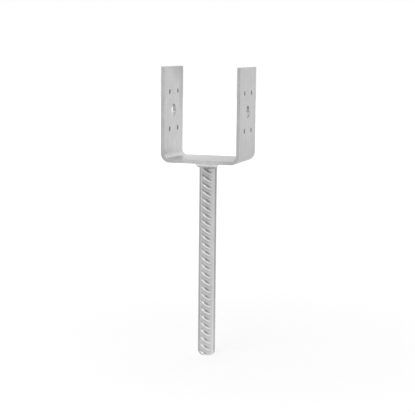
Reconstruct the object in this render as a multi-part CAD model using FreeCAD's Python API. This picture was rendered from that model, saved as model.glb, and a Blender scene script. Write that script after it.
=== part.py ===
"""Timber post base: a folded steel U bracket on a ribbed dowel, joined by a ring of weld.

Millimetres, +Z up. The origin is the middle of the seat that the post stands on,
on the dowel's axis. The legs rise on either side along X and the dowel hangs below.
"""
import FreeCAD, Part
import math
import os

from FreeCAD import Vector

# Folded strip
STRIP_WIDTH = 60.0
STRIP_THICKNESS = 4.0
POST_GAP = 80.0
LEG_HEIGHT = 98.0
BEND_INNER_RADIUS = 6.0
STRIP_EDGE_BREAK = 0.5

# Holes through each leg
BOLT_HOLE_DIAMETER = 13.0
BOLT_HOLE_HEIGHT = 51.0
SCREW_HOLE_DIAMETER = 5.0
SCREW_PITCH_ACROSS = 26.0
SCREW_PITCH_UP = 40.0
PUNCHED_RIM_BREAK = 0.4

# Ribbed bar
DOWEL_LENGTH = 214.0
CORE_DIAMETER = 15.4
CRESCENT_HEIGHT = 1.5
CRESCENT_CREST_WIDTH = 1.3
CRESCENT_FLANK_SLOPE = 45.0
CRESCENT_PITCH = 8.12
CRESCENT_ANGLE_TO_AXIS = 59.0
CRESCENT_HALF_SPAN = 70.0
FIRST_CRESCENT_DROP = 1.9
RIB_ROOT_SINK = 0.75
SEAM_RIB_HEIGHT = 2.0
SEAM_RIB_WIDTH = 1.8
SEAM_RIB_FLANK_SLOPE = 25.0
FOOT_CHAMFER = 2.2

# Ring of weld under the base plate
WELD_LEG_ON_PLATE = 4.6
WELD_LEG_ON_DOWEL = 6.6

# Worked out from the sizes above
LEG_OUTER_X = POST_GAP / 2 + STRIP_THICKNESS
UNDERSIDE_Z = -STRIP_THICKNESS
CORE_RADIUS = CORE_DIAMETER / 2
SEAM_RIB_RADIUS = CORE_RADIUS + SEAM_RIB_HEIGHT
RIBS_TOP_Z = UNDERSIDE_Z - WELD_LEG_ON_DOWEL
FOOT_Z = UNDERSIDE_Z - DOWEL_LENGTH
SAME_PLACE = 1e-6


def closed_face(points_and_arcs):
    """Face inside a closed outline; each entry is an end point, or (mid, end) of an arc."""
    edges = []
    start = points_and_arcs[-1]
    start = start[1] if isinstance(start, tuple) else start
    for entry in points_and_arcs:
        if isinstance(entry, tuple):
            middle, end = entry
            edges.append(Part.Arc(start, middle, end).toShape())
        else:
            end = entry
            edges.append(Part.LineSegment(start, end).toShape())
        start = end
    return Part.Face(Part.Wire(edges))


def bend_point(side, radius, degrees):
    """Point of a bend, from the middle of its arc; 0 points down and 90 outwards."""
    turn = math.radians(degrees)
    centre_x = POST_GAP / 2 - BEND_INNER_RADIUS
    x = centre_x + radius * math.sin(turn)
    z = BEND_INNER_RADIUS - radius * math.cos(turn)
    return Vector(side * x, 0, z)


def folded_strip():
    """U of one strip, with true bends and the strip's broken edges."""
    inner = BEND_INNER_RADIUS
    outer = BEND_INNER_RADIUS + STRIP_THICKNESS
    half_gap = POST_GAP / 2
    outline = [
        bend_point(1, outer, 0),
        (bend_point(1, outer, 45), bend_point(1, outer, 90)),
        Vector(LEG_OUTER_X, 0, LEG_HEIGHT),
        Vector(half_gap, 0, LEG_HEIGHT),
        bend_point(1, inner, 90),
        (bend_point(1, inner, 45), bend_point(1, inner, 0)),
        bend_point(-1, inner, 0),
        (bend_point(-1, inner, 45), bend_point(-1, inner, 90)),
        Vector(-half_gap, 0, LEG_HEIGHT),
        Vector(-LEG_OUTER_X, 0, LEG_HEIGHT),
        bend_point(-1, outer, 90),
        (bend_point(-1, outer, 45), bend_point(-1, outer, 0)),
    ]
    strip = closed_face(outline).extrude(Vector(0, STRIP_WIDTH, 0))
    strip.translate(Vector(0, -STRIP_WIDTH / 2, 0))
    return strip.makeChamfer(STRIP_EDGE_BREAK, strip_rims(strip))


def strip_rims(strip):
    """Edges that run round both sides of the strip."""
    return [edge for edge in strip.Edges if edge.BoundBox.YLength < SAME_PLACE]


def leg_holes():
    """Cutters for the bolt hole and the four screw holes, each through both legs."""
    places = [(0.0, BOLT_HOLE_HEIGHT, BOLT_HOLE_DIAMETER)]
    for across in (-1, 1):
        for up in (-1, 1):
            y = across * SCREW_PITCH_ACROSS / 2
            z = BOLT_HOLE_HEIGHT + up * SCREW_PITCH_UP / 2
            places.append((y, z, SCREW_HOLE_DIAMETER))
    reach = LEG_OUTER_X + STRIP_THICKNESS
    cutters = []
    for y, z, diameter in places:
        start = Vector(-reach, y, z)
        cutters.append(Part.makeCylinder(diameter / 2, 2 * reach, start, Vector(1, 0, 0)))
    return Part.makeCompound(cutters)


def bolt_hole_rims(bracket):
    """Rims of the bolt holes on the outer faces, where the punch goes in."""
    rims = []
    for edge in bracket.Edges:
        box = edge.BoundBox
        in_a_face = box.XLength < SAME_PLACE
        on_outer_side = abs(abs(box.XMin) - LEG_OUTER_X) < SAME_PLACE
        as_wide_as_bolt_hole = abs(box.YLength - BOLT_HOLE_DIAMETER) < SAME_PLACE
        if in_a_face and on_outer_side and as_wide_as_bolt_hole:
            rims.append(edge)
    return rims


def fork_bracket():
    """The folded strip with its punched holes."""
    bracket = folded_strip().cut(leg_holes())
    return bracket.makeChamfer(PUNCHED_RIM_BREAK, bolt_hole_rims(bracket))


def crescent_circle():
    """Offset and radius of the crest's circle, in the rib's own tilted plane.

    The crest stands a crescent height proud of the core in the middle of the row,
    and its edge is level with the core at the ends of the row's span.
    """
    tilt = math.radians(90.0 - CRESCENT_ANGLE_TO_AXIS)
    span = math.radians(CRESCENT_HALF_SPAN)
    peak = CORE_RADIUS + CRESCENT_HEIGHT
    end_y = CORE_RADIUS * math.cos(span)
    end_x = CORE_RADIUS * math.sin(span) - CRESCENT_CREST_WIDTH / 2 * math.sin(tilt)
    along = end_x / math.cos(tilt)
    offset = (peak**2 - along**2 - end_y**2) / (2 * (peak - end_y))
    return offset, peak - offset


def crescent_rib():
    """One rib with its middle at -Y: the front of a tilted disc with drafted flanks."""
    offset, radius = crescent_circle()
    root_radius = radius - CRESCENT_HEIGHT - RIB_ROOT_SINK
    half_crest = CRESCENT_CREST_WIDTH / 2
    half_root = half_crest + (radius - root_radius) * math.tan(math.radians(CRESCENT_FLANK_SLOPE))
    profile = closed_face([
        Vector(0, 0, -half_root),
        Vector(root_radius, 0, -half_root),
        Vector(radius, 0, -half_crest),
        Vector(radius, 0, half_crest),
        Vector(root_radius, 0, half_root),
        Vector(0, 0, half_root),
    ])
    disc = profile.revolve(Vector(0, 0, 0), Vector(0, 0, 1), 360)
    disc.translate(Vector(0, -offset, 0))
    disc.rotate(Vector(0, 0, 0), Vector(0, 1, 0), 90.0 - CRESCENT_ANGLE_TO_AXIS)
    reach = CORE_DIAMETER
    front_half = Part.makeBox(2 * reach, reach, 2 * reach, Vector(-reach, -reach, -reach))
    return disc.common(front_half)


def crescent_row(first_middle_z):
    """One row of ribs on the -Y side, falling towards +X, at the pitch, over the whole bar."""
    rib = crescent_rib()
    count = math.ceil((first_middle_z - FOOT_Z) / CRESCENT_PITCH) + 1
    ribs = []
    for index in range(count):
        copy = rib.copy()
        copy.translate(Vector(0, 0, first_middle_z - index * CRESCENT_PITCH))
        ribs.append(copy)
    return Part.makeCompound(ribs)


def seam_rib():
    """Rib along the +X side of the bar, where the two rolls met."""
    root_x = CORE_RADIUS - RIB_ROOT_SINK
    half_tip = SEAM_RIB_WIDTH / 2
    half_root = half_tip + (SEAM_RIB_RADIUS - root_x) * math.tan(math.radians(SEAM_RIB_FLANK_SLOPE))
    section = closed_face([
        Vector(SEAM_RIB_RADIUS, -half_tip, FOOT_Z),
        Vector(SEAM_RIB_RADIUS, half_tip, FOOT_Z),
        Vector(root_x, half_root, FOOT_Z),
        Vector(root_x, -half_root, FOOT_Z),
    ])
    return section.extrude(Vector(0, 0, DOWEL_LENGTH))


def mirrored(shape, axis):
    """Mirror image in the plane through the bar's axis and square to the given direction."""
    return shape.mirror(Vector(0, 0, 0), axis)


def cropped_envelope(top_z):
    """Solid of revolution that trims the bar's foot to its chamfer and its ribs to the weld."""
    radius = SEAM_RIB_RADIUS + CRESCENT_HEIGHT
    foot_radius = SEAM_RIB_RADIUS - FOOT_CHAMFER
    chamfer_rise = radius - foot_radius
    profile = closed_face([
        Vector(0, 0, FOOT_Z),
        Vector(foot_radius, 0, FOOT_Z),
        Vector(radius, 0, FOOT_Z + chamfer_rise),
        Vector(radius, 0, top_z),
        Vector(0, 0, top_z),
    ])
    return profile.revolve(Vector(0, 0, 0), Vector(0, 0, 1), 360)


def ribbed_dowel():
    """Core, two rows of crescents that slope opposite ways, and two seam ribs in line with the legs."""
    core = Part.makeCylinder(CORE_RADIUS, DOWEL_LENGTH, Vector(0, 0, FOOT_Z), Vector(0, 0, 1))
    first_crescent_z = UNDERSIDE_Z - FIRST_CRESCENT_DROP
    seam = seam_rib()
    rib_groups = [
        crescent_row(first_crescent_z),
        mirrored(crescent_row(first_crescent_z + CRESCENT_PITCH / 2), Vector(0, 1, 0)),
        seam,
        mirrored(seam, Vector(1, 0, 0)),
    ]
    rib_zone = cropped_envelope(RIBS_TOP_Z)
    ribs = []
    for group in rib_groups:
        ribs.extend(group.common(rib_zone).Solids)
    return core.common(cropped_envelope(UNDERSIDE_Z)).multiFuse(ribs).removeSplitter()


def weld_bead():
    """Ring fillet round the core, from the base plate down to where the bar's ribs start."""
    profile = closed_face([
        Vector(CORE_RADIUS, 0, RIBS_TOP_Z),
        Vector(CORE_RADIUS, 0, UNDERSIDE_Z),
        Vector(SEAM_RIB_RADIUS + WELD_LEG_ON_PLATE, 0, UNDERSIDE_Z),
        Vector(SEAM_RIB_RADIUS, 0, RIBS_TOP_Z),
    ])
    return profile.revolve(Vector(0, 0, 0), Vector(0, 0, 1), 360)


def save(name, shape):
    """One closed solid per file."""
    if len(shape.Solids) != 1 or not shape.isValid():
        raise ValueError(name + " is not one sound solid")
    solid = shape.Solids[0]
    solid.exportStep(os.path.join("parts", name + ".step"))
    print(name, "volume", round(solid.Volume), "mm3")


os.makedirs("parts", exist_ok=True)
save("fork_bracket", fork_bracket())
save("ribbed_dowel", ribbed_dowel())
save("weld_bead", weld_bead())
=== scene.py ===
"""Looks of a hot-dip galvanised timber post base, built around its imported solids.

Metres, +Z up. The origin is the middle of the post's seat, on the dowel's axis. The legs stand
on the left at -X and on the right at +X, as seen from the front at -Y.
"""

import math

import bmesh
import bpy
from mathutils import Matrix, Vector, noise


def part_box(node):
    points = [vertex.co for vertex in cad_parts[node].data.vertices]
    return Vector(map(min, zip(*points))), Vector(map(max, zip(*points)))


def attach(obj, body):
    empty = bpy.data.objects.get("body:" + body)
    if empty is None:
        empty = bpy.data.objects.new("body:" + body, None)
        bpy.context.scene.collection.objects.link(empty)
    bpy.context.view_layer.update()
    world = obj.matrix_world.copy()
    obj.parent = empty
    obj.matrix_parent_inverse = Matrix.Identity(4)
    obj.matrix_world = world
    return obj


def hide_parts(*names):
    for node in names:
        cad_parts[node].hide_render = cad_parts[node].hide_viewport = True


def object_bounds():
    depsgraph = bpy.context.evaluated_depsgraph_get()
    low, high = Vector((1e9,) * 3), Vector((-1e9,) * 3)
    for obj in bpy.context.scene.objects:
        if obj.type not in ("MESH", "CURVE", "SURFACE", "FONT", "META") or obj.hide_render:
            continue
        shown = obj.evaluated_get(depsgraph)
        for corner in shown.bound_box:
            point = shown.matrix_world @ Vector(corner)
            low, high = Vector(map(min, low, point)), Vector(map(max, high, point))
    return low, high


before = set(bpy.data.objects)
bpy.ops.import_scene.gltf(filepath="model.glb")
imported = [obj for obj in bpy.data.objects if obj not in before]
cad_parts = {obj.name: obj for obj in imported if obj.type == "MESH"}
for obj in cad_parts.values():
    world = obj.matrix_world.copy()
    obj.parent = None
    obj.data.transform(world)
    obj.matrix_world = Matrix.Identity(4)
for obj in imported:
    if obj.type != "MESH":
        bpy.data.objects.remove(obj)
cad_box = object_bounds()

MM = 0.001
TOUCHING = 0.01 * MM

# Folded strip, beyond what the frame's boxes give
STRIP_THICKNESS = 4.0 * MM
BEND_INNER_RADIUS = 6.0 * MM
BEND_OUTER_RADIUS = BEND_INNER_RADIUS + STRIP_THICKNESS
BEND_ANGLE = math.radians(90.0)
BEND_STEPS = 20
STRIP_EDGE_RADIUS = 0.35 * MM
STRIP_EDGE_STEPS = 4
STRIP_END_RADIUS = 0.4 * MM
STRIP_END_STEPS = 3
SHARP_FROM = math.radians(40.0)
LARGE_FACES_RULE = 100

# Punched holes
BOLT_HOLE_DIAMETER = 13.0 * MM
HOLE_CENTRE_Z = 51.0 * MM
SCREW_HOLE_DIAMETER = 5.0 * MM
SCREW_PITCH_ACROSS = 26.0 * MM
SCREW_PITCH_UP = 40.0 * MM
BOLT_RIM_ROLL = 0.6 * MM
SCREW_RIM_ROLL = 0.4 * MM
INNER_RIM_ROLL = 0.25 * MM
RIM_STEPS = 5
HOLE_SIDES = 72

# Wear and painted light of the bracket's skin: above 0 lighter, as rubbed corners with a painted
# highlight, painted highlights on hole rims and painted light on hole feet, the inner bend and the
# base's middle; below 0 darker, as dull cut edges with painted shade and painted shade on
# undersides, upper hole walls, the outer bend, the back edge and the right face
CORNER_RUB_AND_HIGHLIGHT = 0.4
UNDER_CORNER_SHADE = -0.3
LEFT_LEG_EDGE_DULL_AND_SHADE = -0.27
RIGHT_LEG_EDGE_DULL_AND_SHADE = -0.33
BASE_EDGE_DULL_AND_SHADE = -0.4
BASE_MIDDLE_EDGE_LIGHT = 0.15
BASE_MIDDLE_LIGHT = 0.2
RIM_HIGHLIGHT = 0.4
WALL_TOP_SHADE = -0.4
WALL_FOOT_LIGHT = 1.0
INNER_BEND_LIGHT = 0.6
OUTER_BEND_SHADE = -0.3
BACK_EDGE_SHADE = -0.5
RIGHT_FACE_SHADE = -0.15

# A hole's wall gets painted light from this share of the diameter below its middle, and painted
# shade above it
WALL_FOOT_FROM = 1 / 6

# Share by which the inner bend's painted light is fuller half way up, as it fades from base to leg
INNER_BEND_FULLNESS = 0.15

# Ribbed bar
BAR_SIDES = 168
BAR_RINGS = 560
CORE_RADIUS = 7.7 * MM
CRESCENT_HEIGHT = 1.5 * MM
CRESCENT_CREST_WIDTH = 1.3 * MM
CRESCENT_FLANK_SLOPE = math.radians(45.0)
CRESCENT_PITCH = 8.12 * MM
CRESCENT_TILT = math.radians(31.0)
CRESCENT_HALF_SPAN = math.radians(70.0)
FIRST_CRESCENT_Z = -5.9 * MM
SEAM_RIB_RADIUS = 9.7 * MM
SEAM_RIB_HALF_WIDTH = 0.75 * MM
SEAM_RIB_FLANK_SLOPE = math.radians(18.0)
CREST_ROUNDING = 0.5 * MM
ROOT_ROUNDING = 0.45 * MM
SEAM_RIB_ROUNDING = 0.15 * MM
SEAM_ROOT_ROUNDING = 0.8 * MM
FOOT_CHAMFER = 2.2 * MM
FOOT_ROUNDING = 0.5 * MM
BAR_WAVES = 0.05 * MM
BAR_WAVE_SIZE = 2.5 * MM
BAR_SPECKS = 0.02 * MM
BAR_SPECK_SIZE = 0.8 * MM

# How far the bar's sides are drawn together towards the seam ribs, in radians
SIDE_CROWDING = 0.12

# Wear and painted light of the bar, as a height over the skin that lies a few rings and sides away:
# rubbed crests with a painted highlight and grimy hollows with painted shade
STANDING_OUT_REACH = 4
STANDING_OUT_FULL = 0.6 * MM
# Painted shade on the seam ribs and the left side, painted light at the right rib root, and the bar
# lighter towards the foot and darker towards the top
LEFT_SEAM_SHADE = -0.25 * MM
RIGHT_SEAM_SHADE = -0.4 * MM
ROOT_LIGHT_AT_FOOT = 0.2 * MM
ROOT_LIGHT_AT_TOP = 0.03 * MM
LEFT_SHADE = 0.1 * MM
FOOT_PALER = 0.19 * MM
TOP_DARKER = -0.12 * MM

# Zones round the bar, as the sine of the angle from the middle of the first row
SEAM_RIB_FROM = 0.5
ROOT_ZONE = 0.9
SEAM_ZONE = 0.989

# Painted shade in patches on the bar under the plate and the weld; it clears from one sine of the
# angle to another
UNDER_PLATE_SHADE = 0.35
UNDER_PLATE_SHADE_HIDES = 0.75
UNDER_PLATE_SHADE_START = 3.5 * MM
UNDER_PLATE_SHADE_REACH = 12.0 * MM
UNDER_PLATE_SHADE_PATCHES = 0.9
UNDER_PLATE_SHADE_PATCH_SIZE = 1.6 * MM
UNDER_PLATE_SHADE_CLEAR_SIDE = (0.4, 0.75)
UNDER_PLATE_SHADE_CLEARED = 0.7

# Weld bead; its hidden side lies inside the bar's core
BEAD_STEPS = 420
BEAD_ARC_STEPS = 14
BEAD_DEPTH_IN_CORE = 1.0 * MM
BEAD_SHORT_OF_BOX = 0.2 * MM
BEAD_TOE_LIP = 0.1 * MM
BEAD_TOE_DROP = 0.8 * MM
BEAD_CROWN = 0.9 * MM
BEAD_CROWN_SIDE = Vector((0.7, 0.0, -0.7))
BEAD_MERGE = 0.001 * MM
BEAD_LEAN = 1.5 * MM
BEAD_LEAN_SIDE = math.radians(18.0)
BEAD_LEFT_SWELL = 1.8 * MM
BEAD_WAVES = 0.25 * MM
BEAD_WAVE_SCALE = 2.0
BEAD_WAVE_PLACE = Vector((0.0, 0.0, 5.0))

# Ripples of the weld pool; the bow and the wander are in radians of a ripple
RIPPLES = 46
RIPPLE_HEIGHT = 0.16 * MM
RIPPLE_FULLNESS = 0.6
RIPPLE_BOW = 2.2
RIPPLE_WANDER = 1.2
RIPPLE_WANDER_SCALE = 3.0

# Painted light of the bead, by the share of the way from the plate to the toe: a painted highlight
# band, painted shade along the seam below it, fuller on the left, and a painted highlight on the
# toe, in patches of random tone
HIGHLIGHT_BAND_SHARE = 0.4
HIGHLIGHT_BAND = 0.7
HIGHLIGHT_BAND_FALL = 1.1
SEAM_SHARE = 0.7
SEAM_WIDTH = 0.06
BEAD_SEAM_SHADE = 2.0
SEAM_EVERYWHERE = 0.6
SEAM_MORE_ON_LEFT = 0.5
TOE_HIGHLIGHT = 3.0
BEAD_PATCHES = 0.4
BEAD_PATCH_SIZE = 1.5 * MM

# Zinc, with its scales in patterns to the metre
PALE_ZINC = (0.615, 0.615, 0.615, 1.0)
DARK_ZINC = (0.49, 0.49, 0.49, 1.0)
RUB_AND_HIGHLIGHT_COLOUR = (0.85, 0.85, 0.85, 1.0)
GRIME_AND_SHADE_COLOUR = (0.13, 0.13, 0.13, 1.0)
CLOUD_SCALE = 70.0
GRAIN_SCALE = 1500.0
LUMP_SCALE = 260.0
STREAK_SCALE = 420.0
STREAK_STRETCH = (1.0, 1.0, 0.08)
CRYSTAL_SCALE = 330.0
PATTERN_MIDDLE = 0.5
GRAIN_IN_TONE = 0.25
CRYSTALS_IN_SHEEN = 0.5
CLOUDS_IN_SHEEN = 0.5
LUMPS_IN_RELIEF = 0.75
GRAIN_IN_RELIEF = 0.15
CLOUDS_IN_RELIEF = 0.6
PATTERN_SPAN = (0.2, 0.8)

# Wear and painted light of the zinc: from where to where rubbed zinc with a painted highlight and
# grime with painted shade show, and what they do to the roughness
WEAR_AND_LIGHT_ATTRIBUTE = "wear_and_painted_light"
RUB_AND_HIGHLIGHT_SPAN = (0.1, 0.8)
GRIME_AND_SHADE_SPAN = (-0.05, -0.7)
RUBBED_SMOOTHER = 0.2
GRIMY_ROUGHER = 0.25

# Camera, as fitted to the photograph's edges
CAMERA_PLACE = Vector((376.78, -1168.75, 119.55)) * MM
CAMERA_TURN = math.radians(17.884)
CAMERA_DIP = math.radians(8.063)
CAMERA_ROLL = math.radians(0.599)
CAMERA_LENS = 98.69
CAMERA_SENSOR = 36.0
CAMERA_REACH = 50.0

# Sides of the room as gloss sees them: direction, spread in cosines, and level
DIM_FRONT = (Vector((-0.375, -0.927, -0.05)), (0.1, 0.7), 0.66)
DIM_ABOVE = (Vector((0.7, -0.1, 0.7)), (0.6, 0.97), 0.45)
BRIGHT_SIDE = (Vector((1.0, 0.05, -0.1)), (0.7, 0.98), 1.34)

# Level of the room for all that is neither seen nor mirrored
AMBIENT_LEVEL = 0.5

# Softbox
SOFTBOX_PLACE = Vector((-0.4, -1.05, 0.55))
SOFTBOX_AIM = Vector((0.0, 0.0, -0.06))
SOFTBOX_WIDTH = 1.2
SOFTBOX_HEIGHT = 0.3
SOFTBOX_POWER = 1.9

# Floor, which glows a little more away from the bar
FLOOR_HALF_SIZE = 6.0
FLOOR_GREY = (0.86, 0.86, 0.86, 1.0)
FLOOR_ROUGHNESS = 0.9
FLOOR_GLOW_SPAN = (0.2, 1.2)
FLOOR_GLOW = (0.59, 0.82)

WHITE = (1.0, 1.0, 1.0, 1.0)


# Meshes and objects

def object_from(name, bm):
    """Object with the mesh of a bmesh, which is then freed."""
    mesh = bpy.data.meshes.new(name)
    bm.to_mesh(mesh)
    bm.free()
    made = bpy.data.objects.new(name, mesh)
    bpy.context.scene.collection.objects.link(made)
    return made


def new_piece(name, bm, node, material):
    """Turns a bmesh into a piece of the object that stands for one CAD node."""
    bm.normal_update()
    piece = object_from(name, bm)
    piece.data.materials.append(material)
    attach(piece, "root")
    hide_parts(node)
    return piece


def apply_modifiers(piece):
    """Replaces a piece's mesh by what its modifiers make of it, and drops them."""
    graph = bpy.context.evaluated_depsgraph_get()
    mesh = bpy.data.meshes.new_from_object(piece.evaluated_get(graph))
    old = piece.data
    piece.modifiers.clear()
    piece.data = mesh
    bpy.data.meshes.remove(old)


def verts_of(items):
    """The vertices among a mix of vertices, edges and faces."""
    return [item for item in items if isinstance(item, bmesh.types.BMVert)]


# Shader helpers

def new_group(name, inputs, outputs):
    """Empty shader node group with named sockets; inputs are (name, kind, default)."""
    group = bpy.data.node_groups.new(name, "ShaderNodeTree")
    for label, kind, default in inputs:
        socket = group.interface.new_socket(label, in_out="INPUT", socket_type=kind)
        socket.default_value = default
    for label, kind in outputs:
        group.interface.new_socket(label, in_out="OUTPUT", socket_type=kind)
    entry = group.nodes.new("NodeGroupInput")
    leave = group.nodes.new("NodeGroupOutput")
    return group, entry.outputs, leave.inputs


def feed(tree, value, socket):
    """Puts a value, which is another socket or a plain one, into a node's socket."""
    if isinstance(value, bpy.types.NodeSocket):
        tree.links.new(value, socket)
    else:
        socket.default_value = value


def math_node(tree, operation, first, second):
    """Result of a math node on two values."""
    node = tree.nodes.new("ShaderNodeMath")
    node.operation = operation
    feed(tree, first, node.inputs[0])
    feed(tree, second, node.inputs[1])
    return node.outputs[0]


def summed(tree, first, *others):
    """Sum of several values."""
    total = first
    for other in others:
        total = math_node(tree, "ADD", total, other)
    return total


def swing(tree, pattern, share):
    """How far a pattern is from its middle, times a share."""
    off_middle = math_node(tree, "SUBTRACT", pattern, PATTERN_MIDDLE)
    return math_node(tree, "MULTIPLY", off_middle, share)


def noise_node(tree, vector, scale, detail, roughness):
    """Noise texture; gives its factor."""
    node = tree.nodes.new("ShaderNodeTexNoise")
    feed(tree, vector, node.inputs["Vector"])
    feed(tree, scale, node.inputs["Scale"])
    feed(tree, detail, node.inputs["Detail"])
    feed(tree, roughness, node.inputs["Roughness"])
    return node.outputs["Fac"]


def stretched(tree, vector, factors):
    """Coordinates scaled by a different factor along each axis."""
    node = tree.nodes.new("ShaderNodeMapping")
    feed(tree, vector, node.inputs["Vector"])
    feed(tree, factors, node.inputs["Scale"])
    return node.outputs["Vector"]


def remapped(tree, value, span, low, high):
    """Value taken from a span to another range, held at its ends."""
    node = tree.nodes.new("ShaderNodeMapRange")
    for place, each in enumerate((value, *span, low, high)):
        feed(tree, each, node.inputs[place])
    return node.outputs["Result"]


def mixed_colour(tree, share, first, second):
    """Colour a share of the way from one to another."""
    node = tree.nodes.new("ShaderNodeMix")
    node.data_type = "RGBA"
    feed(tree, share, node.inputs["Factor"])
    feed(tree, first, node.inputs["A"])
    feed(tree, second, node.inputs["B"])
    return node.outputs["Result"]


# Zinc

def zinc_group():
    """Hot-dip zinc: clouds, crystal patches, run-off streaks and a fine grain.

    Tone swings about 0.5, Sheen is how rough each place is, and Relief is a height.
    """
    group, given, out = new_group(
        "hot_dip_zinc",
        [
            ("Place", "NodeSocketVector", (0, 0, 0)),
            ("Cloud Scale", "NodeSocketFloat", CLOUD_SCALE),
            ("Streaks", "NodeSocketFloat", 0.3),
            ("Crystals", "NodeSocketFloat", 0.3),
        ],
        [
            ("Tone", "NodeSocketFloat"),
            ("Sheen", "NodeSocketFloat"),
            ("Relief", "NodeSocketFloat"),
        ],
    )
    place = given["Place"]
    drawn_out = stretched(group, place, STREAK_STRETCH)
    clouds = noise_node(group, place, given["Cloud Scale"], detail=4.0, roughness=0.6)
    grain = noise_node(group, place, GRAIN_SCALE, detail=3.0, roughness=0.6)
    lumps = noise_node(group, place, LUMP_SCALE, detail=3.0, roughness=0.5)
    streaks = noise_node(group, drawn_out, STREAK_SCALE, detail=3.0, roughness=0.55)

    cells = group.nodes.new("ShaderNodeTexVoronoi")
    cells.inputs["Scale"].default_value = CRYSTAL_SCALE
    group.links.new(place, cells.inputs["Vector"])
    split = group.nodes.new("ShaderNodeSeparateColor")
    group.links.new(cells.outputs["Color"], split.inputs["Color"])
    crystals = split.outputs[0]

    tone = summed(
        group,
        math_node(group, "SUBTRACT", clouds, PATTERN_MIDDLE),
        swing(group, streaks, given["Streaks"]),
        swing(group, crystals, given["Crystals"]),
        swing(group, grain, GRAIN_IN_TONE),
        PATTERN_MIDDLE,
    )
    sheen = summed(
        group,
        math_node(group, "MULTIPLY", crystals, CRYSTALS_IN_SHEEN),
        math_node(group, "MULTIPLY", clouds, CLOUDS_IN_SHEEN),
    )
    relief = summed(
        group,
        math_node(group, "MULTIPLY", lumps, LUMPS_IN_RELIEF),
        math_node(group, "MULTIPLY", grain, GRAIN_IN_RELIEF),
        math_node(group, "MULTIPLY", clouds, CLOUDS_IN_RELIEF),
    )
    group.links.new(tone, out["Tone"])
    group.links.new(sheen, out["Sheen"])
    group.links.new(relief, out["Relief"])
    return group


def wear_and_light_group():
    """Zinc where it is handled and where dross stays, with painted light: rubbed ridges with a
    painted highlight and grimy hollows with painted shade.

    Its input from the mesh is 1 where lightest, -1 where darkest and 0 on plain stretches.
    """
    group, given, out = new_group(
        "rubbed_grimy_and_painted_light",
        [
            ("Colour", "NodeSocketColor", (0.5, 0.5, 0.5, 1.0)),
            ("Sheen", "NodeSocketFloat", 0.4),
            ("Wear And Light", "NodeSocketFloat", 0.0),
            ("Rub And Highlight", "NodeSocketFloat", 0.3),
            ("Grime And Shade", "NodeSocketFloat", 0.4),
        ],
        [("Colour", "NodeSocketColor"), ("Sheen", "NodeSocketFloat")],
    )
    ridge = remapped(group, given["Wear And Light"], RUB_AND_HIGHLIGHT_SPAN, 0.0, 1.0)
    hollow = remapped(group, given["Wear And Light"], GRIME_AND_SHADE_SPAN, 0.0, 1.0)
    rubbed_and_lit = math_node(group, "MULTIPLY", ridge, given["Rub And Highlight"])
    grimed_and_shaded = math_node(group, "MULTIPLY", hollow, given["Grime And Shade"])

    colour = mixed_colour(group, rubbed_and_lit, given["Colour"], RUB_AND_HIGHLIGHT_COLOUR)
    colour = mixed_colour(group, grimed_and_shaded, colour, GRIME_AND_SHADE_COLOUR)
    smoother = math_node(group, "MULTIPLY", rubbed_and_lit, RUBBED_SMOOTHER)
    rougher = math_node(group, "MULTIPLY", grimed_and_shaded, GRIMY_ROUGHER)
    sheen = math_node(group, "SUBTRACT", given["Sheen"], smoother)
    sheen = math_node(group, "ADD", sheen, rougher)
    group.links.new(colour, out["Colour"])
    group.links.new(sheen, out["Sheen"])
    return group


def zinc_material(name, groups, roughness, streaks, crystals, relief, rub_and_highlight, grime_and_shade):
    """Dull zinc over steel, with its tone, its sheen and its small lumps, and with wear and painted
    light and shade read from the mesh.
    """
    zinc_look, wear_and_light_look = groups
    material = bpy.data.materials.new(name)
    material.use_nodes = True
    tree = material.node_tree
    shader = tree.nodes["Principled BSDF"]
    shader.inputs["Metallic"].default_value = 1.0

    where = tree.nodes.new("ShaderNodeTexCoord")
    zinc = tree.nodes.new("ShaderNodeGroup")
    zinc.node_tree = zinc_look
    zinc.inputs["Streaks"].default_value = streaks
    zinc.inputs["Crystals"].default_value = crystals
    tree.links.new(where.outputs["Object"], zinc.inputs["Place"])
    tone = remapped(tree, zinc.outputs["Tone"], PATTERN_SPAN, 0.0, 1.0)
    colour = mixed_colour(tree, tone, DARK_ZINC, PALE_ZINC)
    rough = remapped(tree, zinc.outputs["Sheen"], PATTERN_SPAN, *roughness)

    # Rubbed ridges with a painted highlight and grimy hollows with painted shade, read from the
    # mesh's attribute
    wear_and_light_values = tree.nodes.new("ShaderNodeAttribute")
    wear_and_light_values.attribute_name = WEAR_AND_LIGHT_ATTRIBUTE
    wear_and_light = tree.nodes.new("ShaderNodeGroup")
    wear_and_light.node_tree = wear_and_light_look
    wear_and_light.inputs["Rub And Highlight"].default_value = rub_and_highlight
    wear_and_light.inputs["Grime And Shade"].default_value = grime_and_shade
    tree.links.new(colour, wear_and_light.inputs["Colour"])
    tree.links.new(rough, wear_and_light.inputs["Sheen"])
    tree.links.new(wear_and_light_values.outputs["Fac"], wear_and_light.inputs["Wear And Light"])
    tree.links.new(wear_and_light.outputs["Colour"], shader.inputs["Base Color"])
    tree.links.new(wear_and_light.outputs["Sheen"], shader.inputs["Roughness"])

    bump = tree.nodes.new("ShaderNodeBump")
    bump.inputs["Strength"].default_value = 1.0
    bump.inputs["Distance"].default_value = relief
    tree.links.new(zinc.outputs["Relief"], bump.inputs["Height"])
    tree.links.new(bump.outputs["Normal"], shader.inputs["Normal"])
    return material


# Folded bracket

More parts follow.
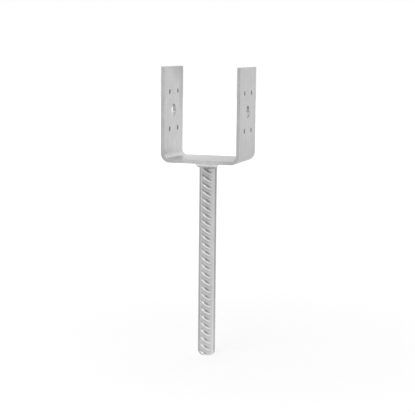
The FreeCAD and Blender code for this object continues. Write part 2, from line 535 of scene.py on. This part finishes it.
def strip_section(bm, x_inner, x_outer, half_width, z):
    """Face of the strip's section, with its four corners rounded."""
    bmesh.ops.create_grid(bm, x_segments=1, y_segments=1, size=0.5)
    bmesh.ops.scale(bm, vec=(x_outer - x_inner, 2 * half_width, 1.0), verts=bm.verts)
    bmesh.ops.translate(bm, vec=((x_outer + x_inner) / 2, 0.0, z), verts=bm.verts)
    bmesh.ops.bevel(
        bm, geom=bm.verts[:], offset=STRIP_EDGE_RADIUS, segments=STRIP_EDGE_STEPS,
        profile=0.5, affect="VERTICES", material=-1,
    )
    return bm.verts[:] + bm.edges[:] + bm.faces[:]


def pulled(bm, end, move):
    """Extrudes the strip's end section in a straight line and gives its new end."""
    made = bmesh.ops.extrude_face_region(bm, geom=end)["geom"]
    bmesh.ops.translate(bm, vec=move, verts=verts_of(made))
    return made


def bent(bm, end, centre):
    """Extrudes the strip's end section round an axis along Y and gives its new end."""
    return bmesh.ops.spin(
        bm, geom=end, cent=centre, axis=(0.0, 1.0, 0.0), angle=BEND_ANGLE, steps=BEND_STEPS,
    )["geom_last"]


def folded_strip(low, high):
    """Strip drawn from the right leg's top, round both bends, to the left leg's top."""
    x_inner = high.x - STRIP_THICKNESS
    bend_x = x_inner - BEND_INNER_RADIUS
    seat = low.z + STRIP_THICKNESS
    bend_z = seat + BEND_INNER_RADIUS
    bm = bmesh.new()
    end = strip_section(bm, x_inner, high.x, high.y, high.z)
    end = pulled(bm, end, (0.0, 0.0, bend_z - high.z))
    end = bent(bm, end, (bend_x, 0.0, bend_z))
    # The base is drawn in two halves, which leaves a ring of vertices round its middle.
    for _ in range(2):
        end = pulled(bm, end, (-bend_x, 0.0, 0.0))
    end = bent(bm, end, (-bend_x, 0.0, bend_z))
    pulled(bm, end, (0.0, 0.0, high.z - bend_z))
    bmesh.ops.recalc_face_normals(bm, faces=bm.faces)
    tops = [edge for edge in bm.edges if min(v.co.z for v in edge.verts) > high.z - TOUCHING]
    bmesh.ops.bevel(
        bm, geom=tops, offset=STRIP_END_RADIUS, segments=STRIP_END_STEPS, profile=0.5,
        affect="EDGES", material=-1,
    )
    for face in bm.faces:
        face.smooth = True
    return bm


def hole_places():
    """Y, Z and diameter of each hole in a leg, the bolt hole first."""
    places = [(0.0, HOLE_CENTRE_Z, BOLT_HOLE_DIAMETER)]
    for across in (-0.5, 0.5):
        for up in (-0.5, 0.5):
            z = HOLE_CENTRE_Z + up * SCREW_PITCH_UP
            places.append((across * SCREW_PITCH_ACROSS, z, SCREW_HOLE_DIAMETER))
    return places


def rolled(x_from, x_to, radius, roll):
    """Quarter round of a drift's profile, which widens by the roll from x_from to x_to."""
    points = []
    for step in range(RIM_STEPS + 1):
        turn = math.radians(90.0) * step / RIM_STEPS
        x = x_from + (x_to - x_from) * math.sin(turn)
        points.append(Vector((x, radius + roll * (1 - math.cos(turn)), 0.0)))
    return points


def hole_drifts(name, places, rim_roll, x_inner, x_outer):
    """Round drifts through both legs, wider where they enter and leave each one."""
    radius = places[0][2] / 2
    reach = 2 * STRIP_THICKNESS
    inner = rolled(x_inner + INNER_RIM_ROLL, x_inner, radius, INNER_RIM_ROLL)
    outer = rolled(x_outer - rim_roll, x_outer, radius, rim_roll)
    right = inner[::-1] + outer + [Vector((x_outer + reach, radius + rim_roll, 0.0))]
    left = [Vector((-point.x, point.y, 0.0)) for point in right[::-1]]
    bm = bmesh.new()
    verts = [bm.verts.new(point) for point in left + right]
    edges = [bm.edges.new(pair) for pair in zip(verts, verts[1:])]
    bmesh.ops.spin(
        bm, geom=verts + edges, cent=(0, 0, 0), axis=(1, 0, 0), angle=math.tau,
        steps=HOLE_SIDES, use_merge=True,
    )
    bmesh.ops.holes_fill(bm, edges=[edge for edge in bm.edges if edge.is_boundary])
    first = bm.verts[:] + bm.edges[:] + bm.faces[:]
    for y, z, _ in places:
        copy = bmesh.ops.duplicate(bm, geom=first)["geom"]
        bmesh.ops.translate(bm, vec=(0.0, y, z), verts=verts_of(copy))
    bmesh.ops.delete(bm, geom=verts_of(first), context="VERTS")
    bmesh.ops.recalc_face_normals(bm, faces=bm.faces)
    return object_from(name, bm)


def punch(bracket, x_inner, x_outer):
    """Drives the drifts through both legs and takes them away."""
    places = hole_places()
    bolt = hole_drifts("bolt_drift", places[:1], BOLT_RIM_ROLL, x_inner, x_outer)
    screws = hole_drifts("screw_drift", places[1:], SCREW_RIM_ROLL, x_inner, x_outer)
    for drift in (bolt, screws):
        cut = bracket.modifiers.new(drift.name, "BOOLEAN")
        cut.operation = "DIFFERENCE"
        cut.solver = "EXACT"
        cut.object = drift
    apply_modifiers(bracket)
    for drift in (bolt, screws):
        mesh = drift.data
        bpy.data.objects.remove(drift)
        bpy.data.meshes.remove(mesh)


def strip_depth(point, low, high):
    """Depth of a place below the strip's outer face: legs, bends or base."""
    across = abs(point.x) - (high.x - BEND_OUTER_RADIUS)
    up = point.z - (low.z + BEND_OUTER_RADIUS)
    if across > 0 and up < 0:
        return BEND_OUTER_RADIUS - math.hypot(across, up)
    return BEND_OUTER_RADIUS - across if across > 0 else BEND_OUTER_RADIUS + up


def hole_light_and_shade(point):
    """Light and shade painted on a hole's wall and rim: painted shade on the wall's top, painted
    light on its foot and a painted highlight on the rim; None anywhere else.
    """
    for y, z, diameter in hole_places():
        from_wall = math.hypot(point.y - y, point.z - z) - diameter / 2
        if from_wall < TOUCHING:
            on_foot = point.z < z - diameter * WALL_FOOT_FROM
            return WALL_FOOT_LIGHT if on_foot else WALL_TOP_SHADE
        if from_wall < BOLT_RIM_ROLL:
            return RIM_HIGHLIGHT
    return None


def cut_edge_dull_and_shade(point, low):
    """Darkening of the strip's cut edges at the front and the back, partly dull cut zinc and partly
    painted shade, with painted light at the base's middle.
    """
    if abs(point.x) < TOUCHING:
        return BASE_MIDDLE_EDGE_LIGHT
    if point.z <= low.z + BEND_OUTER_RADIUS - TOUCHING:
        return BASE_EDGE_DULL_AND_SHADE
    return LEFT_LEG_EDGE_DULL_AND_SHADE if point.x < 0 else RIGHT_LEG_EDGE_DULL_AND_SHADE


def bend_light_and_shade(point, depth, turn):
    """Painted light on the inner bend and painted shade on the outer one, at an angle from the base
    up to the leg.
    """
    if point.x < 0 and depth > STRIP_THICKNESS / 2:
        return INNER_BEND_LIGHT * (math.cos(turn) + INNER_BEND_FULLNESS * math.sin(2 * turn))
    if point.x > 0 and depth < STRIP_THICKNESS / 2:
        return OUTER_BEND_SHADE * math.sin(turn)
    return None


def strip_wear_and_light(point, low, high):
    """Wear and painted light of a place on the strip: rubbed corners with a painted highlight,
    painted highlights on hole rims, painted light and shade on hole walls and bends, dull cut edges
    with painted shade, and painted shade on the back edge and the right face.
    """
    depth = strip_depth(point, low, high)
    from_face = min(depth, STRIP_THICKNESS - depth)
    from_side = high.y - abs(point.y)
    from_top = high.z - point.z
    wear_and_light = None
    if from_face > TOUCHING:
        wear_and_light = hole_light_and_shade(point)
        if wear_and_light is None and from_side < TOUCHING:
            wear_and_light = cut_edge_dull_and_shade(point, low)
        elif wear_and_light is None and from_face < STRIP_EDGE_RADIUS - TOUCHING:
            under = point.z < low.z + STRIP_THICKNESS / 2
            wear_and_light = UNDER_CORNER_SHADE if under else CORNER_RUB_AND_HIGHLIGHT
    if wear_and_light is None and TOUCHING < from_top < STRIP_END_RADIUS - TOUCHING:
        wear_and_light = CORNER_RUB_AND_HIGHLIGHT
    if wear_and_light is not None:
        return wear_and_light

    # Flat faces and bends; the vertices on a bend's two ends count as the bend's.
    across = abs(point.x) - (high.x - BEND_OUTER_RADIUS) + TOUCHING
    below = low.z + BEND_OUTER_RADIUS - point.z + TOUCHING
    if across > 0 and below > 0:
        wear_and_light = bend_light_and_shade(point, depth, math.atan2(across, below))
    elif below < 0 and point.x < 0 < point.y and from_side < STRIP_EDGE_RADIUS + TOUCHING:
        wear_and_light = BACK_EDGE_SHADE
    if wear_and_light is None and abs(point.x) < TOUCHING:
        wear_and_light = BASE_MIDDLE_LIGHT
    if wear_and_light is None and point.x > 0 and depth < TOUCHING:
        wear_and_light = RIGHT_FACE_SHADE
    return wear_and_light or 0.0


def make_bracket(material):
    """U of one strip with rounded edges, true bends and punched holes."""
    low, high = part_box("fork_bracket")
    bm = folded_strip(low, high)
    bracket = new_piece("bracket", bm, "fork_bracket", material)
    punch(bracket, high.x - STRIP_THICKNESS, high.x)

    # The strip's wear and its painted light and shade go into an attribute that the material reads.
    wear_and_light = bracket.data.attributes.new(WEAR_AND_LIGHT_ATTRIBUTE, "FLOAT", "POINT")
    for vert in bracket.data.vertices:
        # Rounding in the bevel and the cut could lift a top a hair over the leg's true height.
        vert.co.z = min(vert.co.z, high.z)
        wear_and_light.data[vert.index].value = strip_wear_and_light(vert.co, low, high)

    bracket.data.shade_smooth()
    bracket.data.set_sharp_from_angle(angle=SHARP_FROM)
    weighted = bracket.modifiers.new("flat_faces_stay_flat", "WEIGHTED_NORMAL")
    weighted.mode = "FACE_AREA"
    weighted.weight = LARGE_FACES_RULE
    weighted.keep_sharp = True
    apply_modifiers(bracket)


# Ribbed bar

def smooth_max(first, second, rounding):
    """Larger of two values, with the step between them rounded."""
    return (first + second + math.hypot(first - second, rounding)) / 2


def smooth_min(first, second, rounding):
    """Smaller of two values, with the step between them rounded."""
    return (first + second - math.hypot(first - second, rounding)) / 2


def crescent_circle():
    """Offset and radius of the crest's circle, in the rib's own tilted plane."""
    peak = CORE_RADIUS + CRESCENT_HEIGHT
    end_y = CORE_RADIUS * math.cos(CRESCENT_HALF_SPAN)
    end_x = CORE_RADIUS * math.sin(CRESCENT_HALF_SPAN)
    end_x -= CRESCENT_CREST_WIDTH / 2 * math.sin(CRESCENT_TILT)
    along = end_x / math.cos(CRESCENT_TILT)
    offset = (peak**2 - along**2 - end_y**2) / (2 * (peak - end_y))
    return offset, peak - offset


CREST_OFFSET, CREST_CIRCLE = crescent_circle()


def crescent_radius(angle, z, first_z):
    """Radius of a row of crescents at an angle from the row's middle and a height."""
    across = math.sin(angle)
    ahead = math.cos(angle)
    square = (across / math.cos(CRESCENT_TILT)) ** 2 + ahead**2
    half = CREST_OFFSET * ahead
    inside = half**2 - square * (CREST_OFFSET**2 - CREST_CIRCLE**2)
    crest = (half + math.sqrt(inside)) / square
    radius = CORE_RADIUS
    # The tilted plane's height depends on the radius, so it is settled in two rounds.
    for _ in range(2):
        fall = radius * across * math.tan(CRESCENT_TILT)
        phase = (first_z - fall - z) / CRESCENT_PITCH
        away = abs(phase - round(phase)) * CRESCENT_PITCH * math.cos(CRESCENT_TILT)
        down_flank = (away - CRESCENT_CREST_WIDTH / 2) / math.tan(CRESCENT_FLANK_SLOPE)
        radius = smooth_min(crest, crest - down_flank, CREST_ROUNDING)
        radius = max(radius, CORE_RADIUS - CRESCENT_HEIGHT)
    return radius


def seam_radius(angle):
    """Radius of the seam ribs, which run along the bar's two sides."""
    across = abs(math.sin(angle))
    if across < SEAM_RIB_FROM:
        return 0.0
    tip = SEAM_RIB_RADIUS / across
    # On the flank, x falls by a share of how far y is beyond the tip's half width.
    slope = math.tan(SEAM_RIB_FLANK_SLOPE)
    beside = abs(math.cos(angle))
    flank = (SEAM_RIB_RADIUS * slope + SEAM_RIB_HALF_WIDTH) / (beside + across * slope)
    return smooth_min(tip, flank, SEAM_RIB_ROUNDING)


def bar_radius(angle, z, foot_z):
    """Radius of the bar's skin in a direction, 0 facing the middle of the first row."""
    angle = math.remainder(angle, math.tau)
    if abs(angle) < math.pi / 2:
        rib = crescent_radius(angle, z, FIRST_CRESCENT_Z)
    else:
        mirrored = math.copysign(math.pi - abs(angle), angle)
        rib = crescent_radius(mirrored, z, FIRST_CRESCENT_Z + CRESCENT_PITCH / 2)
    radius = smooth_max(CORE_RADIUS, rib, ROOT_ROUNDING)
    radius = smooth_max(radius, seam_radius(angle), SEAM_ROOT_ROUNDING)
    chamfer = SEAM_RIB_RADIUS - FOOT_CHAMFER + (z - foot_z)
    return smooth_min(radius, chamfer, FOOT_ROUNDING)


def bar_angle(side):
    """Direction of one of the bar's sides; the sides draw together towards the seam ribs."""
    angle = math.tau * side / BAR_SIDES
    return angle + SIDE_CROWDING * math.sin(2 * angle)


def bar_skin(foot_z, top_z):
    """Radius of the bar's skin, for each ring from the foot up and for each side."""
    skin = []
    for ring in range(BAR_RINGS + 1):
        z = foot_z + (top_z - foot_z) * ring / BAR_RINGS
        skin.append([bar_radius(bar_angle(side), z, foot_z) for side in range(BAR_SIDES)])
    return skin


def bar_point(radius, angle, z):
    """Place on the bar at a radius, a direction and a height."""
    return Vector((radius * math.sin(angle), -radius * math.cos(angle), z))


def bar_wear_and_light(skin, ring, side):
    """Wear and painted light of a spot of the bar's skin, -1 to 1: rubbed ridges with a painted
    highlight, grimy hollows with painted shade, painted shade on the seam ribs and the left side,
    painted light at the right rib root, lighter towards the foot and darker towards the top.
    """
    up = skin[min(ring + STANDING_OUT_REACH, BAR_RINGS)][side]
    down = skin[max(ring - STANDING_OUT_REACH, 0)][side]
    right = skin[ring][(side + STANDING_OUT_REACH) % BAR_SIDES]
    left = skin[ring][side - STANDING_OUT_REACH]
    over = skin[ring][side] - (up + down + right + left) / 4
    across = math.sin(bar_angle(side))
    share = ring / BAR_RINGS
    # Painted shade on the seam ribs, fuller towards the top.
    if abs(across) > SEAM_ZONE:
        grime_and_shade = RIGHT_SEAM_SHADE if across > 0 else LEFT_SEAM_SHADE
        over = grime_and_shade * math.sqrt(share)
    else:
        # Painted light at the right rib root, fuller towards the foot.
        if across > ROOT_ZONE:
            sheen = ROOT_LIGHT_AT_FOOT + (ROOT_LIGHT_AT_TOP - ROOT_LIGHT_AT_FOOT) * share
            over = max(over, sheen)
        # Painted shade on the left side.
        elif across < 0.0:
            over += LEFT_SHADE * across
        # Lighter towards the foot and darker towards the top.
        over += FOOT_PALER * min(1.0, 1.0 + across) * (1.0 - share) + TOP_DARKER * share
    return max(-1.0, min(1.0, over / STANDING_OUT_FULL))


def under_plate_shade_at(point, drop, angle):
    """Painted shade in patches on the bar at a drop below the weld's toe, under the plate, less on
    the right.
    """
    if drop < 0.0 or drop > UNDER_PLATE_SHADE_REACH:
        return 0.0
    share = min(drop / UNDER_PLATE_SHADE_START, 1.0) * (1.0 - (drop / UNDER_PLATE_SHADE_REACH) ** 2)
    clear_from, clear_at = UNDER_PLATE_SHADE_CLEAR_SIDE
    clear = (math.sin(angle) - clear_from) / (clear_at - clear_from)
    share *= 1.0 - UNDER_PLATE_SHADE_CLEARED * min(max(clear, 0.0), 1.0)
    return share * UNDER_PLATE_SHADE_PATCHES * (1.0 + noise.noise(point / UNDER_PLATE_SHADE_PATCH_SIZE))


def make_dowel(material):
    """Bar with two rows of crescents, drawn out of a ring of vertices and then shaped."""
    low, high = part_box("ribbed_dowel")
    weld_toe_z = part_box("weld_bead")[0].z
    length = high.z - low.z
    bm = bmesh.new()
    bmesh.ops.create_cone(
        bm, cap_ends=False, segments=BAR_SIDES, radius1=CORE_RADIUS, radius2=CORE_RADIUS,
        depth=length,
    )
    bmesh.ops.translate(bm, vec=(0.0, 0.0, (low.z + high.z) / 2), verts=bm.verts)
    upright = [edge for edge in bm.edges if not edge.is_boundary]
    bmesh.ops.subdivide_edges(bm, edges=upright, cuts=BAR_RINGS - 1, use_grid_fill=True)
    wear_and_light_values = bm.verts.layers.float.new(WEAR_AND_LIGHT_ATTRIBUTE)
    skin = bar_skin(low.z, high.z)
    for vert in bm.verts:
        z = vert.co.z
        ring = round((z - low.z) / length * BAR_RINGS)
        side = round(math.atan2(vert.co.x, -vert.co.y) / math.tau * BAR_SIDES) % BAR_SIDES
        angle = bar_angle(side)
        radius = skin[ring][side]
        point = bar_point(radius, angle, z)
        waves = BAR_WAVES * noise.noise(point / BAR_WAVE_SIZE)
        specks = BAR_SPECKS * noise.noise(point / BAR_SPECK_SIZE)
        vert.co = bar_point(radius + waves + specks, angle, z)
        # Painted shade under the plate dims the wear and painted light there and darkens the skin.
        under_plate_shade = under_plate_shade_at(point, weld_toe_z - z, angle)
        bare = bar_wear_and_light(skin, ring, side) * (1.0 - UNDER_PLATE_SHADE_HIDES * min(under_plate_shade, 1.0))
        vert[wear_and_light_values] = max(-1.0, bare - UNDER_PLATE_SHADE * under_plate_shade)
    bmesh.ops.holes_fill(bm, edges=[edge for edge in bm.edges if edge.is_boundary])
    bmesh.ops.recalc_face_normals(bm, faces=bm.faces)
    for face in bm.faces:
        face.smooth = len(face.verts) == 4
    new_piece("ribbed_bar", bm, "ribbed_dowel", material)


# Weld

def bead_profile(plate_radius, plate_z, toe_z):
    """Section of the bead: a full arc from the plate to its toe on the bar, and its hidden side."""
    hidden = CORE_RADIUS - BEAD_DEPTH_IN_CORE
    start = Vector((plate_radius - BEAD_SHORT_OF_BOX, 0.0, plate_z))
    end = Vector((CORE_RADIUS + BEAD_TOE_LIP, 0.0, toe_z))
    crown = BEAD_CROWN_SIDE * BEAD_CROWN
    points = [Vector((hidden, 0.0, plate_z))]
    for step in range(BEAD_ARC_STEPS + 1):
        share = step / BEAD_ARC_STEPS
        points.append(start.lerp(end, share) + crown * math.sin(math.pi * share))
    points.append(Vector((hidden, 0.0, toe_z)))
    return points


def bead_growth(angle, share):
    """How far the skin stands off a plain ring: ripples, waves, the left swell and the lean."""
    bulge = math.sin(math.pi * share)
    around = Vector((math.cos(angle), math.sin(angle), 0.0))
    wander = RIPPLE_WANDER * noise.noise(around * RIPPLE_WANDER_SCALE)
    wave = RIPPLES * angle + RIPPLE_BOW * bulge + wander
    ripple = RIPPLE_HEIGHT * bulge * (0.5 + 0.5 * math.sin(wave)) ** RIPPLE_FULLNESS
    swell = BEAD_WAVES * noise.noise((around + BEAD_WAVE_PLACE) * BEAD_WAVE_SCALE)
    swell += BEAD_LEFT_SWELL * max(0.0, -math.cos(angle))
    lean = BEAD_LEAN * (0.5 + 0.5 * math.cos(angle - BEAD_LEAN_SIDE))
    return ripple + swell * bulge - lean * (1.0 - share)


def bead_wear_and_light(point, angle, share):
    """Painted light of the bead: a highlight band, shade along the seam below it and a highlight on
    the toe, all painted, in patches of random tone.
    """
    band = HIGHLIGHT_BAND - HIGHLIGHT_BAND_FALL * abs(share - HIGHLIGHT_BAND_SHARE)
    toe = TOE_HIGHLIGHT * (share - SEAM_SHARE)
    seam = math.exp(-(((share - SEAM_SHARE) / SEAM_WIDTH) ** 2))
    seam *= SEAM_EVERYWHERE - SEAM_MORE_ON_LEFT * math.cos(angle)
    patches = BEAD_PATCHES * noise.noise(point / BEAD_PATCH_SIZE)
    return max(band, toe) - BEAD_SEAM_SHADE * seam + patches


def make_bead(material):
    """Bead of weld round the top of the bar, with the ripples of its pool."""
    low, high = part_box("weld_bead")
    toe_z = low.z - BEAD_TOE_DROP
    bm = bmesh.new()
    verts = [bm.verts.new(point) for point in bead_profile(high.x, high.z, toe_z)]
    edges = [bm.edges.new(pair) for pair in zip(verts, verts[1:] + verts[:1])]
    bmesh.ops.spin(
        bm, geom=verts + edges, cent=(0, 0, 0), axis=(0, 0, 1), angle=math.tau,
        steps=BEAD_STEPS, use_merge=True,
    )
    bmesh.ops.remove_doubles(bm, verts=bm.verts, dist=BEAD_MERGE)
    bmesh.ops.recalc_face_normals(bm, faces=bm.faces)
    wear_and_light_values = bm.verts.layers.float.new(WEAR_AND_LIGHT_ATTRIBUTE)
    for vert in bm.verts:
        radius = math.hypot(vert.co.x, vert.co.y)
        if radius < CORE_RADIUS:
            continue
        angle = math.atan2(vert.co.y, vert.co.x)
        share = min(max((high.z - vert.co.z) / (high.z - toe_z), 0.0), 1.0)
        grown = radius + bead_growth(angle, share)
        vert.co.x *= grown / radius
        vert.co.y *= grown / radius
        vert[wear_and_light_values] = bead_wear_and_light(vert.co, angle, share)
    for face in bm.faces:
        face.smooth = True
    new_piece("bead", bm, "weld_bead", material)


# Studio

def seen_or_mirrored(tree):
    """1 for rays from the camera, from gloss and through glass, and 0 for all others."""
    path = tree.nodes.new("ShaderNodeLightPath")
    kinds = ("Is Camera Ray", "Is Glossy Ray", "Is Transmission Ray")
    total = summed(tree, *[path.outputs[kind] for kind in kinds])
    return math_node(tree, "MINIMUM", total, 1.0)


def make_floor():
    """Pale floor at the foot of the bar, which keeps a faint shadow."""
    bm = bmesh.new()
    bmesh.ops.create_grid(bm, x_segments=1, y_segments=1, size=FLOOR_HALF_SIZE)
    bmesh.ops.translate(bm, vec=(0.0, 0.0, cad_box[0][2]), verts=bm.verts)
    floor = object_from("floor", bm)
    material = bpy.data.materials.new("pale_floor")
    material.use_nodes = True
    tree = material.node_tree
    shader = tree.nodes["Principled BSDF"]
    shader.inputs["Base Color"].default_value = FLOOR_GREY
    shader.inputs["Roughness"].default_value = FLOOR_ROUGHNESS
    shader.inputs["Specular IOR Level"].default_value = 0.0
    shader.inputs["Emission Color"].default_value = WHITE
    where = tree.nodes.new("ShaderNodeTexCoord")
    away = tree.nodes.new("ShaderNodeVectorMath")
    away.operation = "LENGTH"
    tree.links.new(where.outputs["Object"], away.inputs[0])
    glow = remapped(tree, away.outputs["Value"], FLOOR_GLOW_SPAN, *FLOOR_GLOW)
    lift = math_node(tree, "MULTIPLY", seen_or_mirrored(tree), glow)
    tree.links.new(lift, shader.inputs["Emission Strength"])
    floor.data.materials.append(material)


def level_towards(tree, direction, side, spread, level):
    """1 away from a side of the room and another level towards it; spread is in cosines."""
    toward = tree.nodes.new("ShaderNodeVectorMath")
    toward.operation = "DOT_PRODUCT"
    tree.links.new(direction, toward.inputs[0])
    toward.inputs[1].default_value = side.normalized()
    return remapped(tree, toward.outputs["Value"], spread, 1.0, level)


def make_world():
    """Room that the camera sees white and that gloss sees with dim and bright sides.

    All other rays get the ambient share of what gloss sees.
    """
    world = bpy.data.worlds.new("studio")
    world.use_nodes = True
    bpy.context.scene.world = world
    tree = world.node_tree
    where = tree.nodes.new("ShaderNodeTexCoord")
    direction = where.outputs["Generated"]
    room = level_towards(tree, direction, *DIM_FRONT)
    for side in (DIM_ABOVE, BRIGHT_SIDE):
        room = math_node(tree, "MULTIPLY", room, level_towards(tree, direction, *side))
    path = tree.nodes.new("ShaderNodeLightPath")
    level = tree.nodes.new("ShaderNodeMix")
    level.data_type = "FLOAT"
    level.inputs["B"].default_value = 1.0
    tree.links.new(path.outputs["Is Camera Ray"], level.inputs["Factor"])
    tree.links.new(room, level.inputs["A"])
    share = remapped(tree, seen_or_mirrored(tree), (0.0, 1.0), AMBIENT_LEVEL, 1.0)
    strength = math_node(tree, "MULTIPLY", level.outputs["Result"], share)
    background = tree.nodes["Background"]
    background.inputs["Color"].default_value = WHITE
    tree.links.new(strength, background.inputs["Strength"])


def make_softbox():
    """Wide lamp in front on the left, which faces the bar."""
    lamp = bpy.data.lights.new("front_softbox", "AREA")
    lamp.shape = "RECTANGLE"
    lamp.size = SOFTBOX_WIDTH
    lamp.size_y = SOFTBOX_HEIGHT
    lamp.energy = SOFTBOX_POWER
    box = bpy.data.objects.new("front_softbox", lamp)
    box.location = SOFTBOX_PLACE
    box.rotation_euler = (SOFTBOX_AIM - SOFTBOX_PLACE).to_track_quat("-Z", "Y").to_euler()
    bpy.context.scene.collection.objects.link(box)


def make_camera():
    """Camera at the photograph's place and angle."""
    lens = bpy.data.cameras.new("camera")
    lens.lens = CAMERA_LENS
    lens.sensor_width = CAMERA_SENSOR
    lens.sensor_fit = "HORIZONTAL"
    lens.clip_end = CAMERA_REACH
    camera = bpy.data.objects.new("camera", lens)
    turn = Matrix.Rotation(CAMERA_TURN, 4, "Z")
    dip = Matrix.Rotation(math.radians(90.0) - CAMERA_DIP, 4, "X")
    roll = Matrix.Rotation(CAMERA_ROLL, 4, "Z")
    camera.matrix_world = Matrix.Translation(CAMERA_PLACE) @ turn @ dip @ roll
    bpy.context.scene.collection.objects.link(camera)
    bpy.context.scene.camera = camera


bpy.context.scene.view_settings.view_transform = "Standard"
make_camera()
make_world()
make_floor()
make_softbox()

looks = (zinc_group(), wear_and_light_group())
strip_zinc = zinc_material(
    "strip_zinc", looks, roughness=(0.34, 0.46), streaks=0.5, crystals=0.2,
    relief=0.10 * MM, rub_and_highlight=0.5, grime_and_shade=0.45,
)
bar_zinc = zinc_material(
    "bar_zinc", looks, roughness=(0.26, 0.38), streaks=0.1, crystals=0.25,
    relief=0.08 * MM, rub_and_highlight=0.8, grime_and_shade=0.5,
)
bead_zinc = zinc_material(
    "bead_zinc", looks, roughness=(0.32, 0.44), streaks=0.0, crystals=0.3,
    relief=0.10 * MM, rub_and_highlight=0.6, grime_and_shade=0.6,
)
make_bracket(strip_zinc)
make_dowel(bar_zinc)
make_bead(bead_zinc)
